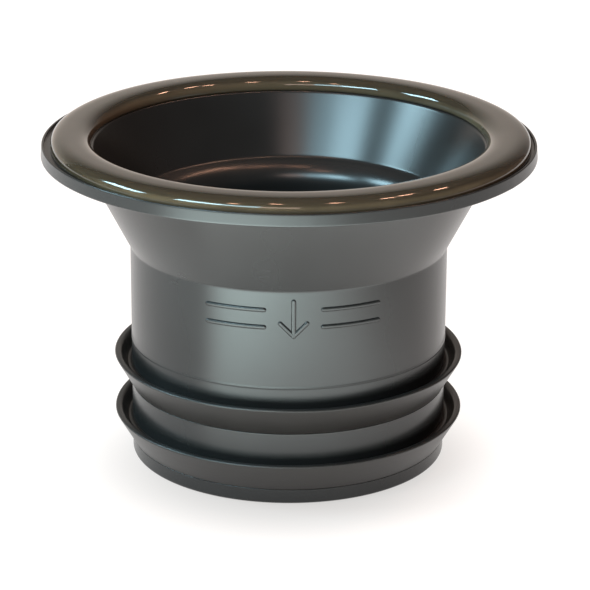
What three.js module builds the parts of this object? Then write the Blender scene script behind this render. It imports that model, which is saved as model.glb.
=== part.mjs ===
// Wax-free toilet seal: a flexible funnel that drops into a nominal 4-inch drain.
// Four pieces: the moulded funnel, the tacky sealing ring on its flange, and two flared fin seals.
// Millimetres, +Z up along the funnel's axis, origin at the centre of the sleeve's lower end.
import * as THREE from 'three';

// ---- driving dimensions ----------------------------------------------------

const SEGMENTS = 72;                 // facets around the axis
const ARC_STEPS = 5;                 // facets across a rounded edge
const SEAT_GAP = 0.3;                // clearance kept between two pieces that touch

const FLANGE_DIAMETER = 146;
const FLANGE_UNDERSIDE_Z = 92.8;
const DECK_Z = 95.6;                 // the flat top that carries the sealing ring
const LIP_TOP_Z = 96.45;             // the thin raised edge around the deck
const LIP_WIDTH = 0.7;
const RIM_DRAFT = 0.3;               // the flange edge widens by this much towards its underside

const SLEEVE_DIAMETER = 94.8;
const SLEEVE_TOP_Z = 65.2;           // where the outside turns from sleeve into cone
const CONE_TOP_RADIUS = 61.6;        // outside of the cone where it meets the flange underside
const BORE_DIAMETER = 82.4;
const END_BEVEL = 0.5;               // edge break on the sleeve's lower end

const MOUTH_RADIUS = 57.9;           // inside of the cone at the deck
const SHOULDER_RADIUS = 47.6;        // inside of the cone where its rounded shoulder begins
const SHOULDER_Z = 76.8;
const SHOULDER_TURN = 80;            // degrees through which the shoulder turns down into the bore

const RING_INNER_RADIUS = 58.3;
const RING_OUTER_RADIUS = 71.7;
const RING_CROWN_Z = 99.8;
const RING_CROWN_LAND = 5;           // width of the flat that meets the toilet
const RING_SIDE_HEIGHT = 0.6;        // upright edge below the dome

const FIN_RIM_RADIUS = 52.85;
const FIN_RISE = 9.35;               // from the fin's root up to its rim
const FIN_WIDTH = 2.1;               // thickness, measured square to the axis
const FIN_ROOT_HEIGHTS = { upper_fin: 21.8, lower_fin: 4.4 };
const COLLAR_HEIGHT = 4.2;           // band of the fin that sits in the sleeve's groove
const COLLAR_DEPTH = 1;

// ---- sizes that follow from them -------------------------------------------

const FLANGE_RADIUS = FLANGE_DIAMETER / 2;
const SLEEVE_RADIUS = SLEEVE_DIAMETER / 2;
const BORE_RADIUS = BORE_DIAMETER / 2;
const COLLAR_INNER_RADIUS = SLEEVE_RADIUS - COLLAR_DEPTH;
const GROOVE_RADIUS = COLLAR_INNER_RADIUS - SEAT_GAP;
const FIN_SLOPE = (FIN_RIM_RADIUS - SLEEVE_RADIUS) / FIN_RISE;

// ---- helpers ---------------------------------------------------------------

const point = (radius, z) => new THREE.Vector2(radius, z);

// Points on an ellipse's arc, both ends included. Angles are in degrees, from the outward direction.
function arc(centre, halfWidth, halfHeight, fromDegrees, toDegrees) {
  const points = [];
  for (let i = 0; i <= ARC_STEPS; i += 1) {
    const angle = THREE.MathUtils.degToRad(fromDegrees + (toDegrees - fromDegrees) * i / ARC_STEPS);
    points.push(point(centre.x + halfWidth * Math.cos(angle), centre.y + halfHeight * Math.sin(angle)));
  }
  return points;
}

// Turns a closed outline, listed counter-clockwise in the radius-height plane, about the Z axis.
function turned(outline) {
  const geometry = new THREE.LatheGeometry([...outline, outline[0]], SEGMENTS);
  geometry.rotateX(Math.PI / 2);
  return geometry;
}

function piece(name, outline, look) {
  const mesh = new THREE.Mesh(turned(outline), new THREE.MeshStandardMaterial(look));
  mesh.name = name;
  return mesh;
}

// ---- the moulded funnel ----------------------------------------------------

// The groove in the sleeve that holds a fin's collar, from its lower edge to its upper one.
function groove(rootZ) {
  const bottom = rootZ - SEAT_GAP;
  const top = rootZ + COLLAR_HEIGHT + SEAT_GAP;
  return [
    point(SLEEVE_RADIUS, bottom),
    point(GROOVE_RADIUS, bottom),
    point(GROOVE_RADIUS, top),
    point(SLEEVE_RADIUS, top),
  ];
}

function outsideOfFunnel() {
  return [
    point(SLEEVE_RADIUS - END_BEVEL, 0),
    point(SLEEVE_RADIUS, END_BEVEL),
    ...groove(FIN_ROOT_HEIGHTS.lower_fin),
    ...groove(FIN_ROOT_HEIGHTS.upper_fin),
    point(SLEEVE_RADIUS, SLEEVE_TOP_Z),
    point(CONE_TOP_RADIUS, FLANGE_UNDERSIDE_Z),
  ];
}

function edgeOfFlange() {
  const lipInnerRadius = FLANGE_RADIUS - LIP_WIDTH;
  return [
    point(FLANGE_RADIUS + RIM_DRAFT, FLANGE_UNDERSIDE_Z),
    point(FLANGE_RADIUS, LIP_TOP_Z),
    point(lipInnerRadius, LIP_TOP_Z),
    point(lipInnerRadius, DECK_Z),
  ];
}

// Down the inside: the cone, the shoulder that rounds over into the bore, and the bore.
function insideOfFunnel() {
  const turn = THREE.MathUtils.degToRad(SHOULDER_TURN);
  const roundness = (SHOULDER_RADIUS - BORE_RADIUS) / (1 - Math.cos(turn));
  const shoulderCentre = point(BORE_RADIUS + roundness, SHOULDER_Z - roundness * Math.sin(turn));
  return [
    point(MOUTH_RADIUS, DECK_Z),
    ...arc(shoulderCentre, roundness, roundness, 180 - SHOULDER_TURN, 180),
    point(BORE_RADIUS, END_BEVEL),
    point(BORE_RADIUS + END_BEVEL, 0),
  ];
}

function funnelBody() {
  const outline = [...outsideOfFunnel(), ...edgeOfFlange(), ...insideOfFunnel()];
  return piece('funnel_body', outline, { color: 0x4a4d4e, roughness: 0.42, metalness: 0 });
}

// ---- the tacky ring that seals against the toilet ---------------------------

function sealingRing() {
  const baseZ = DECK_Z + SEAT_GAP;
  const domeZ = baseZ + RING_SIDE_HEIGHT;
  const domeHeight = RING_CROWN_Z - domeZ;
  const middle = (RING_INNER_RADIUS + RING_OUTER_RADIUS) / 2;
  const domeWidth = (RING_OUTER_RADIUS - RING_INNER_RADIUS - RING_CROWN_LAND) / 2;
  const outerDomeCentre = point(middle + RING_CROWN_LAND / 2, domeZ);
  const innerDomeCentre = point(middle - RING_CROWN_LAND / 2, domeZ);
  const outline = [
    point(RING_INNER_RADIUS, baseZ),
    point(RING_OUTER_RADIUS, baseZ),
    ...arc(outerDomeCentre, domeWidth, domeHeight, 0, 90),
    ...arc(innerDomeCentre, domeWidth, domeHeight, 90, 180),
  ];
  return piece('sealing_ring', outline, { color: 0x5a5242, roughness: 0.12, metalness: 0 });
}

// ---- a flared fin on its collar --------------------------------------------

function fin(name) {
  const rootZ = FIN_ROOT_HEIGHTS[name];
  const rimZ = rootZ + FIN_RISE;
  const rimInnerRadius = FIN_RIM_RADIUS - FIN_WIDTH;
  const valleyZ = rimZ - (rimInnerRadius - SLEEVE_RADIUS) / FIN_SLOPE;
  const collarTopZ = rootZ + COLLAR_HEIGHT;
  const outline = [
    point(COLLAR_INNER_RADIUS, rootZ),
    point(SLEEVE_RADIUS, rootZ),
    point(FIN_RIM_RADIUS, rimZ),
    point(rimInnerRadius, rimZ),
    point(SLEEVE_RADIUS, valleyZ),
    point(SLEEVE_RADIUS, collarTopZ),
    point(COLLAR_INNER_RADIUS, collarTopZ),
  ];
  return piece(name, outline, { color: 0x353433, roughness: 0.6, metalness: 0 });
}

// ---- the assembly ----------------------------------------------------------

const seal = new THREE.Group();
seal.add(funnelBody());
seal.add(sealingRing());
for (const name of Object.keys(FIN_ROOT_HEIGHTS)) {
  seal.add(fin(name));
}

export default seal;
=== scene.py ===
import math
import random

import bmesh
import bpy
from mathutils import Matrix, Vector, noise


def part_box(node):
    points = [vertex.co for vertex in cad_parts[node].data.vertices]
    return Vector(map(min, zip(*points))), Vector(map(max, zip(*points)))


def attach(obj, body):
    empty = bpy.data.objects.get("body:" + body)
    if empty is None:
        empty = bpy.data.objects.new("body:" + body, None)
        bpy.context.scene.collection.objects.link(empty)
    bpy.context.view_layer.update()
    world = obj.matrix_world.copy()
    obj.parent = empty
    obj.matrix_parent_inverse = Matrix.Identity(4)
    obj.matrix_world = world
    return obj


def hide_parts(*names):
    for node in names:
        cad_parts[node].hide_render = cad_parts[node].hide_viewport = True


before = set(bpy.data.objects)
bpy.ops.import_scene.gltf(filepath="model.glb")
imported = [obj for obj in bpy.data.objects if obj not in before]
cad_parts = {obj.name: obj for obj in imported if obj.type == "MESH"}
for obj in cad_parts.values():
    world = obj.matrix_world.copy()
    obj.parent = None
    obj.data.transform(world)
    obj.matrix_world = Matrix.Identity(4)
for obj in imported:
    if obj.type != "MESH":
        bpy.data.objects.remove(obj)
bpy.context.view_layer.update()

# ---- sizes, in metres --------------------------------------------------------

MM = 0.001
SEGMENTS = 288              # facets around the axis of a turned piece
FILLET_STEPS = 5            # facets across a rounded edge
SUPPORT = 0.3 * MM          # a row of points this far from each edge keeps the shading crisp
LONGEST_FACET = 4 * MM

_, funnel_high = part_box("funnel_body")
_, ring_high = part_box("sealing_ring")
fin_boxes = {name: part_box(name) for name in ("upper_fin", "lower_fin")}

RIM_DRAFT = 0.3 * MM
FLANGE_RADIUS = funnel_high.x - RIM_DRAFT
LIP_TOP = funnel_high.z
LIP_WIDTH = 0.7 * MM
LIP_HEIGHT = 0.85 * MM
DECK = LIP_TOP - LIP_HEIGHT
FLANGE_THICKNESS = 3.65 * MM
FLANGE_UNDERSIDE = LIP_TOP - FLANGE_THICKNESS

SLEEVE_RADIUS = 47.4 * MM
SLEEVE_TOP = 65.2 * MM
CONE_TOP_RADIUS = 61.6 * MM
BORE_RADIUS = 41.2 * MM
MOUTH_RADIUS = 57.9 * MM
SHOULDER_RADIUS = 47.6 * MM
SHOULDER_HEIGHT = 76.8 * MM
SHOULDER_TURN = math.radians(80)   # how far the shoulder turns down into the bore
SHOULDER_STEPS = 12

RING_INNER = 58.3 * MM
RING_OUTER = ring_high.x
RING_SHAPE = 2.8            # how square the ring's section is: 2 would be an ellipse
RING_STEPS = 44             # facets across the ring's section
RING_MIDDLE = (RING_INNER + RING_OUTER) / 2
RING_HALF_WIDTH = (RING_OUTER - RING_INNER) / 2

FIN_RIM_RADIUS = fin_boxes["upper_fin"][1].x
FIN_WIDTH = 2.1 * MM
COLLAR_HEIGHT = 4.2 * MM
COLLAR_DEPTH = 1 * MM
COLLAR_INNER = SLEEVE_RADIUS - COLLAR_DEPTH
SEAM = 0.06 * MM            # fine gap left between a collar and its groove
GROOVE_FILLET = 0.1 * MM

MARK_HEIGHT = 0.5 * MM      # how far the moulded flow mark stands proud
MARK_STROKE = 1.4 * MM
MARK_TOP = 62.3 * MM
MARK_BOTTOM = 51.9 * MM
MARK_MIDDLE = 1.6 * MM      # how far round to the viewer's right of the front it is centred
ARROW_BARB = 3.8 * MM
BARS_START = 8.5 * MM       # the bars on either side run between these distances from the arrow
BARS_END = 25.5 * MM
BAR_INSET = 2.6 * MM        # how far the bars lie inside the arrow's two ends

# ---- mesh helpers ------------------------------------------------------------


def rounded(corners):
    """The closed outline through (radius, height, fillet) corners, each rounded by its fillet."""
    outline = []
    for index, (radius, height, fillet) in enumerate(corners):
        corner = Vector((radius, height))
        if not fillet:
            outline.append(corner)
            continue
        following = corners[(index + 1) % len(corners)]
        before = (Vector(corners[index - 1][:2]) - corner).normalized()
        after = (Vector(following[:2]) - corner).normalized()
        half_angle = before.angle(after) / 2
        reach = fillet / math.tan(half_angle)
        centre = corner + (before + after).normalized() * fillet / math.sin(half_angle)
        for step in range(FILLET_STEPS + 1):
            chord = (before * reach).lerp(after * reach, step / FILLET_STEPS)
            outline.append(centre + (corner + chord - centre).normalized() * fillet)
    return outline


def with_support(outline):
    """Adds points along each long straight stretch: one near either end, even steps between."""
    points = []
    for index, start in enumerate(outline):
        end = outline[(index + 1) % len(outline)]
        points.append(start)
        length = (end - start).length
        if length < 4 * SUPPORT:
            continue
        along = (end - start) / length
        steps = max(1, math.ceil((length - 2 * SUPPORT) / LONGEST_FACET))
        for step in range(steps + 1):
            points.append(start + along * (SUPPORT + (length - 2 * SUPPORT) * step / steps))
    return points


def make_mesh(name, vertices, faces):
    """A smooth-shaded mesh object with its faces pointing out."""
    mesh = bpy.data.meshes.new(name)
    mesh.from_pydata(vertices, [], faces)
    cleaner = bmesh.new()
    cleaner.from_mesh(mesh)
    bmesh.ops.recalc_face_normals(cleaner, faces=cleaner.faces)
    cleaner.to_mesh(mesh)
    cleaner.free()
    for face in mesh.polygons:
        face.use_smooth = True
    made = bpy.data.objects.new(name, mesh)
    bpy.context.scene.collection.objects.link(made)
    return made


def turned(name, outline, moulding):
    """Turns an outline about Z. moulding(angle, radius, height) gives each point its real place."""
    points = with_support(outline)
    count = len(points)
    vertices = []
    for segment in range(SEGMENTS):
        angle = math.tau * segment / SEGMENTS
        for point in points:
            radius, height = moulding(angle, point.x, point.y)
            vertices.append((radius * math.cos(angle), radius * math.sin(angle), height))
    faces = []
    for segment in range(SEGMENTS):
        near = segment * count
        far = (segment + 1) % SEGMENTS * count
        for index in range(count):
            following = (index + 1) % count
            faces.append((near + index, far + index, far + following, near + following))
    return make_mesh(name, vertices, faces)


def ripple(angle, waves, seed):
    """A smooth random value between about -1 and 1 that closes on itself around the axis."""
    return noise.noise(Vector((waves * math.cos(angle), waves * math.sin(angle), seed)))


def bump_at(angle, centre_degrees, width_degrees):
    """1 at centre_degrees, falling smoothly to 0 at width_degrees to either side."""
    away = (math.degrees(angle) - centre_degrees + 180) % 360 - 180
    share = max(0.0, 1 - abs(away) / width_degrees)
    return share * share * (3 - 2 * share)


# ---- the funnel --------------------------------------------------------------

WITNESS_HEIGHT = 35.9 * MM
WITNESS_STEP = 0.07 * MM    # how far the mould's parting line stands proud of the sleeve
WITNESS_HALF_WIDTH = 0.1 * MM
WITNESS_SLOPE = 0.2 * MM    # height over which the line dies away above and below

NIB_COUNT = 8               # small nibs of flash left around the flange edge
NIB_REACH = (0.10 * MM, 0.18 * MM)
NIB_WIDTH = 0.8             # degrees

BORE_END_FILLET = 0.6 * MM
SLEEVE_END_FILLET = 0.7 * MM
SLEEVE_TOP_FILLET = 1.5 * MM
CONE_TOP_FILLET = 1.0 * MM
RIM_FILLET = 0.35 * MM
LIP_OUTER_FILLET = 0.3 * MM
LIP_INNER_FILLET = 0.2 * MM
MOUTH_FILLET = 0.8 * MM
SHOULDER_FILLET = 1.7 * MM

OUT_OF_ROUND = 0.12 * MM
OUT_OF_ROUND_RIPPLE = (1.2, 3.0)    # the waves and the seed of a ripple
FLANGE_WAVE = 0.1 * MM
FLANGE_WAVE_RIPPLE = (2.5, 8.0)
FLANGE_EDGE_WIDTH = 3.4 * MM    # the outer part of the flange that waves and carries the nibs

nib_choice = random.Random(4)
flash_nibs = [
    (nib_choice.uniform(0, 360), nib_choice.uniform(*NIB_REACH)) for _ in range(NIB_COUNT)
]


def groove(name):
    """The groove that holds a fin's collar, from its lower edge to its upper one."""
    bottom = fin_boxes[name][0].z - SEAM
    top = bottom + COLLAR_HEIGHT + 2 * SEAM
    floor = COLLAR_INNER - SEAM
    return [
        (SLEEVE_RADIUS, bottom, GROOVE_FILLET),
        (floor, bottom, 0),
        (floor, top, 0),
        (SLEEVE_RADIUS, top, GROOVE_FILLET),
    ]


def witness_line(height):
    """A shallow raised line that the mould left around the sleeve."""
    foot = WITNESS_HALF_WIDTH + WITNESS_SLOPE
    return [
        (SLEEVE_RADIUS, height - foot, 0),
        (SLEEVE_RADIUS + WITNESS_STEP, height - WITNESS_HALF_WIDTH, 0),
        (SLEEVE_RADIUS + WITNESS_STEP, height + WITNESS_HALF_WIDTH, 0),
        (SLEEVE_RADIUS, height + foot, 0),
    ]


def shoulder():
    """The shoulder inside the funnel, rounding over from the cone into the bore."""
    roundness = (SHOULDER_RADIUS - BORE_RADIUS) / (1 - math.cos(SHOULDER_TURN))
    bottom = SHOULDER_HEIGHT - roundness * math.sin(SHOULDER_TURN)
    corners = []
    for step in range(1, SHOULDER_STEPS + 1):
        angle = SHOULDER_TURN * (1 - step / SHOULDER_STEPS)
        radius = BORE_RADIUS + roundness * (1 - math.cos(angle))
        corners.append((radius, bottom + roundness * math.sin(angle), 0))
    return corners


def funnel_outline():
    lip_inner = FLANGE_RADIUS - LIP_WIDTH
    return rounded([
        (BORE_RADIUS, 0, BORE_END_FILLET),
        (SLEEVE_RADIUS, 0, SLEEVE_END_FILLET),
        *groove("lower_fin"),
        *groove("upper_fin"),
        *witness_line(WITNESS_HEIGHT),
        (SLEEVE_RADIUS, SLEEVE_TOP, SLEEVE_TOP_FILLET),
        (CONE_TOP_RADIUS, FLANGE_UNDERSIDE, CONE_TOP_FILLET),
        (FLANGE_RADIUS + RIM_DRAFT, FLANGE_UNDERSIDE, RIM_FILLET),
        (FLANGE_RADIUS, LIP_TOP, LIP_OUTER_FILLET),
        (lip_inner, LIP_TOP, LIP_INNER_FILLET),
        (lip_inner, DECK, LIP_INNER_FILLET),
        (MOUTH_RADIUS, DECK, MOUTH_FILLET),
        (SHOULDER_RADIUS, SHOULDER_HEIGHT, SHOULDER_FILLET),
        *shoulder(),
    ])


def funnel_moulding(angle, radius, height):
    """The soft moulding is slightly out of round, with nibs of flash on its flange edge."""
    share = height / LIP_TOP
    radius += OUT_OF_ROUND * share * ripple(angle, *OUT_OF_ROUND_RIPPLE)
    if radius > FLANGE_RADIUS - FLANGE_EDGE_WIDTH:
        height += FLANGE_WAVE * ripple(angle, *FLANGE_WAVE_RIPPLE)
        for degrees, reach in flash_nibs:
            radius += reach * bump_at(angle, degrees, NIB_WIDTH)
    return radius, height


# ---- the sealing ring --------------------------------------------------------

NARROW_REACH = 1.1 * MM     # how far the ring's outer edge draws in at its narrow place
NARROW_AT = 178             # degrees around the axis
NARROW_SPREAD = 60
OUTER_WANDER = 0.25 * MM
OUTER_RIPPLE = (2.2, 20.0)
INNER_WANDER = 0.3 * MM
INNER_RIPPLE = (2.0, 31.0)
INNER_OVAL = 0.35 * MM
INNER_OVAL_AT = math.radians(40)
CROWN_DIP = 0.12 * MM
CROWN_RIPPLE = (1.6, 44.0)


def ring_outline():
    """A cushion-shaped section: a flattened crown between two full, round sides."""
    base = DECK + SEAM
    rise = ring_high.z - base
    outline = []
    for step in range(RING_STEPS + 1):
        angle = math.pi * step / RING_STEPS
        across = math.copysign(abs(math.cos(angle)) ** (2 / RING_SHAPE), math.cos(angle))
        up = math.sin(angle) ** (2 / RING_SHAPE)
        outline.append(Vector((RING_MIDDLE + RING_HALF_WIDTH * across, base + rise * up)))
    return outline


def ring_moulding(angle, radius, height):
    """The compound was laid by hand: its edges wander a little and its crown rises and falls."""
    across = (radius - RING_MIDDLE) / RING_HALF_WIDTH
    narrow_place = NARROW_REACH * bump_at(angle, NARROW_AT, NARROW_SPREAD)
    outer_wander = OUTER_WANDER * (1 + ripple(angle, *OUTER_RIPPLE))
    inner_wander = INNER_WANDER * ripple(angle, *INNER_RIPPLE)
    inner_oval = INNER_OVAL * math.cos(2 * (angle - INNER_OVAL_AT))
    if across > 0:
        radius -= (narrow_place + outer_wander) * across
    else:
        radius -= (inner_wander + inner_oval) * across
    up = (height - DECK) / (ring_high.z - DECK)
    height -= up * CROWN_DIP * (1 + ripple(angle, *CROWN_RIPPLE))
    return radius, height


# ---- the fins ----------------------------------------------------------------

FIN_TIP_FILLET = 0.4 * MM
FIN_RIM_FILLET = 1.1 * MM
FIN_VALLEY_FILLET = 0.8 * MM

FIN_WAVE_OUT = 0.22 * MM
FIN_WAVES_AROUND_OUT = 1.8
FIN_WAVE_UP = 0.18 * MM
FIN_WAVES_AROUND_UP = 2.3
FIN_SEED_STEP = 5           # keeps a fin's two ripples apart


def fin_outline(name):
    root = fin_boxes[name][0].z
    rim = fin_boxes[name][1].z
    slope = (FIN_RIM_RADIUS - SLEEVE_RADIUS) / (rim - root)
    rim_inner = FIN_RIM_RADIUS - FIN_WIDTH
    valley = rim - (rim_inner - SLEEVE_RADIUS) / slope
    collar_top = root + COLLAR_HEIGHT
    return rounded([
        (COLLAR_INNER, root, 0),
        (SLEEVE_RADIUS, root, 0),
        (FIN_RIM_RADIUS, rim, FIN_TIP_FILLET),
        (rim_inner, rim, FIN_RIM_FILLET),
        (SLEEVE_RADIUS, valley, FIN_VALLEY_FILLET),
        (SLEEVE_RADIUS, collar_top, GROOVE_FILLET),
        (COLLAR_INNER, collar_top, 0),
    ])


def fin_moulding(seed):
    """A thin fin never stands quite true: its rim waves in and out and up and down."""
    def moulding(angle, radius, height):
        reach = max(0.0, (radius - SLEEVE_RADIUS) / (FIN_RIM_RADIUS - SLEEVE_RADIUS))
        radius += FIN_WAVE_OUT * reach * ripple(angle, FIN_WAVES_AROUND_OUT, seed)
        up_ripple = ripple(angle, FIN_WAVES_AROUND_UP, seed + FIN_SEED_STEP)
        height += FIN_WAVE_UP * reach * up_ripple
        return radius, height
    return moulding


# ---- the moulded flow mark ---------------------------------------------------

# A bar's section, as (share of half its width, share of its height) points.
BAR_SECTION = (
    (-1, -0.3), (-1, 0.1), (-0.72, 0.8), (-0.4, 1), (0.4, 1), (0.72, 0.8), (1, 0.1), (1, -0.3),
)
STATIONS = 26               # cross-sections along a bar, closer together towards its round ends
NARROWEST = 0.08            # share of the full width left at a bar's very end
END_FULLNESS = 1.6          # above 1, a bar's end keeps its height longer than its width


def bar_ring(middle, sideways, narrowing):
    """One cross-section of a raised bar, wrapped onto the sleeve."""
    ring = []
    for side, lift in BAR_SECTION:
        spot = middle + sideways * (MARK_STROKE / 2 * side * narrowing)
        rise = lift if lift < 0 else lift * min(1.0, narrowing * END_FULLNESS)
        radius = SLEEVE_RADIUS + MARK_HEIGHT * rise
        angle = spot.x / SLEEVE_RADIUS - math.pi / 2
        ring.append((radius * math.cos(angle), radius * math.sin(angle), spot.y))
    return ring


def raised_bar(start, end):
    """A closed bar with round ends. Each end is a (distance around, height) on the sleeve."""
    start, end = Vector(start), Vector(end)
    length = (end - start).length
    along = (end - start) / length
    sideways = Vector((-along.y, along.x))
    half = MARK_STROKE / 2
    vertices = []
    for station in range(STATIONS + 1):
        share = 0.5 - 0.5 * math.cos(math.pi * station / STATIONS)
        travelled = -half + (length + 2 * half) * share
        overrun = max(0.0, -travelled, travelled - length) / half
        narrowing = max(NARROWEST, math.sqrt(max(0.0, 1 - overrun * overrun)))
        vertices += bar_ring(start + along * travelled, sideways, narrowing)
    count = len(BAR_SECTION)
    faces = [tuple(range(count)), tuple(STATIONS * count + index for index in range(count))]
    for station in range(STATIONS):
        near, far = station * count, (station + 1) * count
        for index in range(count):
            following = (index + 1) % count
            faces.append((near + index, near + following, far + following, far + index))
    return vertices, faces


def flow_mark():
    """A downward arrow between two pairs of bars, moulded on the sleeve under the cone."""
    tip = (MARK_MIDDLE, MARK_BOTTOM)
    bars = [
        ((MARK_MIDDLE, MARK_TOP), tip),
        ((MARK_MIDDLE - ARROW_BARB, MARK_BOTTOM + ARROW_BARB), tip),
        ((MARK_MIDDLE + ARROW_BARB, MARK_BOTTOM + ARROW_BARB), tip),
    ]
    for side in (-1, 1):
        for height in (MARK_TOP - BAR_INSET, MARK_BOTTOM + BAR_INSET):
            start = (MARK_MIDDLE + side * BARS_START, height)
            end = (MARK_MIDDLE + side * BARS_END, height)
            bars.append((start, end))
    vertices, faces = [], []
    for start, end in bars:
        more_vertices, more_faces = raised_bar(start, end)
        offset = len(vertices)
        vertices += more_vertices
        faces += [tuple(offset + index for index in face) for face in more_faces]
    return make_mesh("flow_mark", vertices, faces)


# ---- materials ---------------------------------------------------------------


class Look:
    """A material under construction: makes nodes and joins them."""

    def __init__(self, name):
        self.material = bpy.data.materials.new(name)
        self.material.use_nodes = True
        self.tree = self.material.node_tree
        self.shader = self.tree.nodes["Principled BSDF"]

    def node(self, kind, **settings):
        made = self.tree.nodes.new(kind)
        for key, value in settings.items():
            setattr(made, key, value)
        return made

    def join(self, source, target):
        self.tree.links.new(source, target)

    def set(self, **values):
        for key, value in values.items():
            self.shader.inputs[key.replace("_", " ")].default_value = value

    def maths(self, operation, first, second):
        made = self.node("ShaderNodeMath", operation=operation)
        for value, socket in zip((first, second), made.inputs):
            if isinstance(value, (int, float)):
                socket.default_value = value
            else:
                self.join(value, socket)
        return made.outputs[0]

    def length(self, x, y):
        """The distance from the origin to (x, y)."""
        x_square = self.maths("MULTIPLY", x, x)
        y_square = self.maths("MULTIPLY", y, y)
        return self.maths("SQRT", self.maths("ADD", x_square, y_square), 0)

    def place(self):
        """The point's place in the object's own frame, in metres: whole, and split into x, y, z."""
        coordinates = self.node("ShaderNodeTexCoord")
        split = self.node("ShaderNodeSeparateXYZ")
        self.join(coordinates.outputs["Object"], split.inputs[0])
        return coordinates.outputs["Object"], split.outputs

    def around(self, around_scale, height_scale):
        """A place stretched around the axis, for marks that run around a turned piece."""
        _, (x, y, z) = self.place()
        radius = self.length(x, y)
        joined = self.node("ShaderNodeCombineXYZ")
        for value, target in ((x, joined.inputs[0]), (y, joined.inputs[1])):
            share = self.maths("DIVIDE", value, radius)
            self.join(self.maths("MULTIPLY", share, around_scale), target)
        height = self.maths("ADD", z, radius)
        self.join(self.maths("MULTIPLY", height, height_scale), joined.inputs[2])
        return joined.outputs[0]

    def noise(self, place, scale, detail=2.0, roughness=0.5):
        made = self.node("ShaderNodeTexNoise")
        made.inputs["Scale"].default_value = scale
        made.inputs["Detail"].default_value = detail
        made.inputs["Roughness"].default_value = roughness
        self.join(place, made.inputs["Vector"])
        return made.outputs["Fac"]

    def ramp(self, value, *stops):
        """Maps a value through (place, grey or colour) stops."""
        made = self.node("ShaderNodeValToRGB")
        stops_list = made.color_ramp.elements
        while len(stops_list) < len(stops):
            stops_list.new(0.5)
        for element, (place, colour) in zip(stops_list, stops):
            element.position = place
            grey = isinstance(colour, (int, float))
            element.color = (colour, colour, colour, 1) if grey else (*colour, 1)
        self.join(value, made.inputs[0])
        return made.outputs[0]

    def bump(self, height, distance, strength=1.0, under=None):
        made = self.node("ShaderNodeBump")
        made.inputs["Distance"].default_value = distance
        made.inputs["Strength"].default_value = strength
        self.join(height, made.inputs["Height"])
        if under is not None:
            self.join(under, made.inputs["Normal"])
        return made.outputs[0]


MOTTLE_SIZE = 18 * MM
FLOW_LINE_SIZE = 2 * MM
GRAIN_SIZE = 0.77 * MM


def moulded_pvc(name, dark, light, smooth, rough, grain, flow_depth):
    """Flexible PVC: satin, faintly mottled, with faint flow lines around it and a fine grain."""
    look = Look(name)
    place, _ = look.place()
    mottle = look.noise(place, 1 / MOTTLE_SIZE, 1)
    flow = look.noise(look.around(3, 1 / FLOW_LINE_SIZE), 1, 1)
    peel = look.noise(place, 1 / GRAIN_SIZE, 2)
    look.join(look.ramp(mottle, (0.1, dark), (0.9, light)), look.shader.inputs["Base Color"])
    from_mottle = look.maths("MULTIPLY", mottle, 0.85)
    from_flow = look.maths("MULTIPLY", flow, 0.15)
    wear = look.maths("ADD", from_mottle, from_flow)
    look.join(look.ramp(wear, (0.1, smooth), (0.9, rough)), look.shader.inputs["Roughness"])
    lines = look.bump(flow, distance=flow_depth, strength=0.5)
    grained = look.bump(peel, distance=grain, strength=0.5, under=lines)
    look.join(grained, look.shader.inputs["Normal"])
    look.set(IOR=1.5)
    return look.material


SWIRL_SIZE = 11 * MM
WAVE_SIZE = 17 * MM
PIT_SIZE = 2.5 * MM


def sealing_compound():
    """Tacky olive-brown compound: glossy, slightly see-through, with soft ripples, and painted
    light at its thin edges.
    """
    look = Look("sealing_compound")
    place, (x, y, _) = look.place()
    off_middle = look.maths("ABSOLUTE", look.maths("SUBTRACT", look.length(x, y), RING_MIDDLE), 0)
    edge = look.maths("DIVIDE", off_middle, RING_HALF_WIDTH)
    swirl = look.noise(place, 1 / SWIRL_SIZE, 3)
    swirling = look.maths("MULTIPLY", look.maths("SUBTRACT", swirl, 0.5), 0.12)
    shade = look.maths("ADD", edge, swirling)
    # Painted light: the ring's thin inner and outer edges are painted lighter than its body, for
    # light coming through the thin compound there. The swirl adds a random tone.
    body, rim = (0.046, 0.033, 0.020), (0.14, 0.10, 0.06)
    colour = look.ramp(shade, (0.0, body), (0.84, body), (1.0, rim))
    look.join(colour, look.shader.inputs["Base Color"])
    look.join(look.ramp(swirl, (0.3, 0.035), (0.7, 0.06)), look.shader.inputs["Roughness"])
    waves = look.bump(look.noise(place, 1 / WAVE_SIZE, 1), distance=0.2 * MM, strength=0.4)
    pit_noise = look.noise(place, 1 / PIT_SIZE, 1)
    pits = look.bump(pit_noise, distance=0.015 * MM, strength=0.3, under=waves)
    look.join(pits, look.shader.inputs["Normal"])
    look.set(IOR=1.5, Coat_Weight=0.3, Coat_Roughness=0.04)
    look.set(Subsurface_Weight=0.25, Subsurface_Scale=2 * MM, Subsurface_Radius=(1.0, 0.8, 0.5))
    return look.material


SHADE_FORWARD = 14 * MM     # the shade on the table lies this far towards the viewer
SHADE_REACH = 100 * MM
GLARE_REACH = 900 * MM
GLARE_WIDTH = 500 * MM
GLARE_STRENGTH = 9.0


def contact_shade(look, x, y):
    """How much light the table keeps: little inside the sleeve, and more away from its foot."""
    distance = look.length(x, look.maths("ADD", y, SHADE_FORWARD))
    around_foot = look.ramp(
        look.maths("DIVIDE", distance, SHADE_REACH),
        (0.34, 0.58), (0.42, 0.66), (0.49, 0.75), (0.56, 0.85), (0.64, 0.96), (0.70, 1.0),
    )
    share_of_sleeve = look.maths("DIVIDE", look.length(x, y), 2 * SLEEVE_RADIUS)
    inside = look.ramp(share_of_sleeve, (0.25, 0.06), (0.42, 0.10), (0.48, 0.15), (0.495, 1.0))
    return look.maths("MULTIPLY", around_foot, inside)


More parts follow.
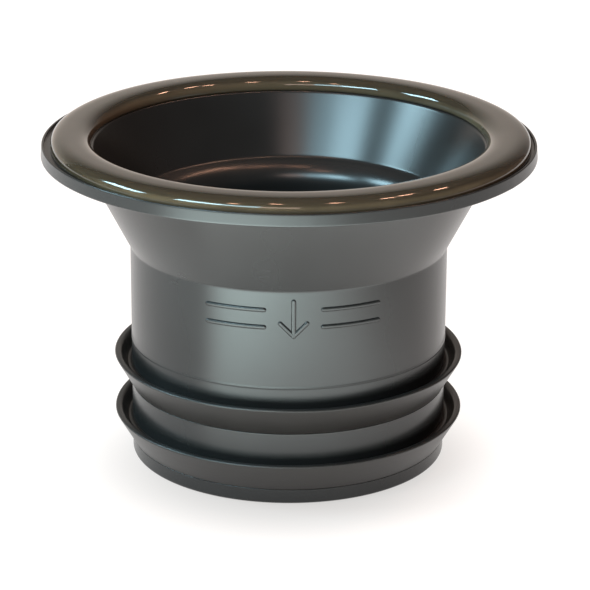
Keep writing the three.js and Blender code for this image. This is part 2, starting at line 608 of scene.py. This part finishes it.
def window_glare(look, x, y, across):
    """The windows' glare on the table before the object, which fades to the right."""
    azimuth = look.maths("ARCTAN2", x, look.maths("MULTIPLY", y, -1))
    share_of_turn = look.maths("ADD", look.maths("DIVIDE", azimuth, math.tau), 0.5)
    sides = look.ramp(
        share_of_turn, (0.345, 0.0), (0.38, 0.85), (0.41, 1.0), (0.62, 1.0), (0.75, 0.0),
    )
    fading = look.ramp(across, (0.3, 1.0), (0.5, 0.66), (0.72, 0.42), (0.86, 0.12), (0.98, 0.0))
    reach = look.ramp(
        look.maths("DIVIDE", look.length(x, y), GLARE_REACH),
        (0.085, 0.0), (0.15, 0.45), (0.22, 0.7), (0.38, 1.35), (0.55, 1.35), (1.0, 0.0),
    )
    return look.maths("MULTIPLY", look.maths("MULTIPLY", sides, fading), reach)


def light_table():
    """White paper that glows, with painted shade around the object, the windows' glare painted
    before it, and its glow painted dimmer towards the viewer's right.
    """
    look = Look("light_table")
    _, (x, y, _) = look.place()
    across = look.maths("ADD", look.maths("DIVIDE", x, GLARE_WIDTH), 0.5)
    glare = window_glare(look, x, y, across)
    # Painted shade: the table's glow is painted dimmer towards the viewer's right.
    glow_dimming_right = look.ramp(across, (0.74, 1.03), (1.0, 0.86))
    glow = look.maths("ADD", look.maths("MULTIPLY", glare, GLARE_STRENGTH), glow_dimming_right)
    shaded_glow = look.maths("MULTIPLY", contact_shade(look, x, y), glow)
    look.join(shaded_glow, look.shader.inputs["Emission Strength"])
    # Painted glare: the glare's glow is tinted with the windows' cool colour.
    tint = look.ramp(glare, (0.0, (1.0, 0.98, 0.96)), (0.6, (0.82, 1.0, 0.98)))
    look.join(tint, look.shader.inputs["Emission Color"])
    look.set(Base_Color=(0.18, 0.14, 0.13, 1), Roughness=0.9, Specular_IOR_Level=0.0)
    return look.material


def backdrop_paper(height, right):
    """Paper with a warm painted glow: bright where it meets the table, and dim at its top and its
    right.
    """
    look = Look("backdrop_paper")
    _, (x, _, z) = look.place()
    share_up = look.maths("DIVIDE", z, height)
    share_right = look.maths("DIVIDE", x, right)
    # Painted light: the glow is painted brighter low down and dimmer at the top and the right.
    glow_by_height = look.ramp(share_up, (0.0, 0.85), (0.35, 0.55), (0.6, 0.38), (1.0, 0.08))
    fading = look.ramp(share_right, (0.10, 1.0), (0.32, 0.62), (0.60, 0.25), (1.0, 0.05))
    look.join(look.maths("MULTIPLY", glow_by_height, fading), look.shader.inputs["Emission Strength"])
    look.set(Base_Color=(0.2, 0.19, 0.18, 1), Roughness=0.95, Specular_IOR_Level=0.0)
    look.set(Emission_Color=(1.0, 0.86, 0.76, 1))
    return look.material


# ---- the assembly ------------------------------------------------------------

funnel_pvc = moulded_pvc(
    "funnel_pvc", dark=(0.015, 0.0145, 0.014), light=(0.021, 0.0205, 0.020),
    smooth=0.25, rough=0.28, grain=0.006 * MM, flow_depth=0,
)
fin_pvc = moulded_pvc(
    "fin_pvc", dark=(0.018, 0.016, 0.015), light=(0.024, 0.021, 0.019),
    smooth=0.30, rough=0.40, grain=0.03 * MM, flow_depth=0.02 * MM,
)


def flared_fin(node, seed):
    return turned(f"flared_{node}", fin_outline(node), fin_moulding(seed))


moulded_funnel = turned("moulded_funnel", funnel_outline(), funnel_moulding)
compound_ring = turned("compound_ring", ring_outline(), ring_moulding)
pieces = [
    # piece, CAD node, slot, material
    (moulded_funnel, "funnel_body", "funnel", funnel_pvc),
    (compound_ring, "sealing_ring", "ring", sealing_compound()),
    (flared_fin("upper_fin", 60.0), "upper_fin", "upper_fin", fin_pvc),
    (flared_fin("lower_fin", 75.0), "lower_fin", "lower_fin", fin_pvc),
    (flow_mark(), None, "funnel", funnel_pvc),
]
for piece, node, slot, material in pieces:
    piece.data.materials.append(material)
    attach(piece, "root")
    if node:
        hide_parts(node)

# ---- stage, light and camera -------------------------------------------------

LOOK_AT = Vector((0, 0, 60 * MM))   # the place on the object's axis that the lights face
PANEL_DISTANCE = 2.0        # metres from there to each light

DAYLIGHT = (0.54, 0.86, 1.0)
CEILING_LIGHT = (1.0, 0.70, 0.50)
WALL_LIGHT = (1.0, 0.72, 0.62)
WARM_LAMP = (1.0, 0.52, 0.34)
ROOM_COLOUR = (1.0, 0.88, 0.8, 1)
ROOM_STRENGTH = 0.1

# Name, azimuth, elevation, width and height in degrees, radiance, colour.
PANELS = (
    ("window_near", -46, 37, 18, 12, 24, DAYLIGHT),
    ("window_front", -25, 37, 17, 12, 12, DAYLIGHT),
    ("window_side", -93, 34, 23, 12, 25, DAYLIGHT),
    ("wall_glow", -4, 36, 16, 12, 4.8, WALL_LIGHT),
    ("ceiling", 0, 90, 75, 75, 0.12, CEILING_LIGHT),
)
LAMP_PLACES = ((-39, 61), (-20, 80), (72, 78), (111, 67), (126, 62), (126, 53))
LAMP_SIZE = 3.5             # degrees
LAMP_RADIANCE = 40

# The camera, as fitted to the photo.
CAMERA_PITCH = math.radians(19.513)
CAMERA_ROLL = math.radians(0.313)
CAMERA_DISTANCE = 794.39 * MM
CAMERA_TARGET = Vector((1.93 * MM, 0, 47.62 * MM))
SENSOR_WIDTH = 36
FOCAL_LENGTH = 160.7


def stage_sheet(name, corners, material):
    """A flat sheet of the stage through four corners."""
    sheet = make_mesh(name, corners, [(0, 1, 2, 3)])
    sheet.data.materials.append(material)


def stage():
    """A table that reaches well past the picture, with a sheet of paper standing behind it."""
    side, back, top = 3.0, 2.4, 1.7
    right = 1.8             # where the paper ends, to the viewer's right
    level = -0.1 * MM       # just clear of the sleeve's end
    stage_sheet(
        "table",
        [(-side, -side, level), (side, -side, level), (side, back, level), (-side, back, level)],
        light_table(),
    )
    stage_sheet(
        "backdrop",
        [(-side, back, 0), (right, back, 0), (right, back, top), (-side, back, top)],
        backdrop_paper(top, right),
    )


def direction(azimuth, elevation):
    """A unit vector. Azimuth 0 is towards the viewer and 90 is to the viewer's right."""
    a, e = math.radians(azimuth), math.radians(elevation)
    return Vector((math.sin(a) * math.cos(e), -math.cos(a) * math.cos(e), math.sin(e)))


def panel(name, azimuth, elevation, width_degrees, height_degrees, radiance, colour):
    """A soft panel of light that covers the given angles as the object sees it."""
    light = bpy.data.lights.new(name, "AREA")
    light.shape = "RECTANGLE"
    light.size = 2 * PANEL_DISTANCE * math.tan(math.radians(width_degrees / 2))
    light.size_y = 2 * PANEL_DISTANCE * math.tan(math.radians(height_degrees / 2))
    light.energy = radiance * math.pi * light.size * light.size_y
    light.color = colour
    lamp = bpy.data.objects.new(name, light)
    toward = direction(azimuth, elevation)
    lamp.location = LOOK_AT + toward * PANEL_DISTANCE
    lamp.rotation_euler = toward.to_track_quat("Z", "Y").to_euler()
    bpy.context.scene.collection.objects.link(lamp)


def studio_light():
    for settings in PANELS:
        panel(*settings)
    for index, (azimuth, elevation) in enumerate(LAMP_PLACES):
        panel(
            f"ceiling_lamp_{index}", azimuth, elevation,
            LAMP_SIZE, LAMP_SIZE, LAMP_RADIANCE, WARM_LAMP,
        )
    room = bpy.data.worlds.new("room")
    room.use_nodes = True
    background = room.node_tree.nodes["Background"]
    background.inputs["Color"].default_value = ROOM_COLOUR
    background.inputs["Strength"].default_value = ROOM_STRENGTH
    bpy.context.scene.world = room


def photo_camera():
    """A long lens a little above the rim, with the object slightly left of the middle."""
    back = Vector((0, -math.cos(CAMERA_PITCH), math.sin(CAMERA_PITCH)))
    right = Vector((1, 0, 0))
    up = back.cross(right)
    rolled_right = right * math.cos(CAMERA_ROLL) + up * math.sin(CAMERA_ROLL)
    rolled_up = up * math.cos(CAMERA_ROLL) - right * math.sin(CAMERA_ROLL)
    lens = bpy.data.cameras.new("camera")
    lens.sensor_width = SENSOR_WIDTH
    lens.lens = FOCAL_LENGTH
    lens.clip_start, lens.clip_end = 0.05, 20
    camera = bpy.data.objects.new("camera", lens)
    facing = Matrix((rolled_right, rolled_up, back)).transposed().to_4x4()
    camera.matrix_world = Matrix.Translation(CAMERA_TARGET + back * CAMERA_DISTANCE) @ facing
    bpy.context.scene.collection.objects.link(camera)
    bpy.context.scene.camera = camera


stage()
studio_light()
photo_camera()
bpy.context.scene.view_settings.view_transform = "Standard"
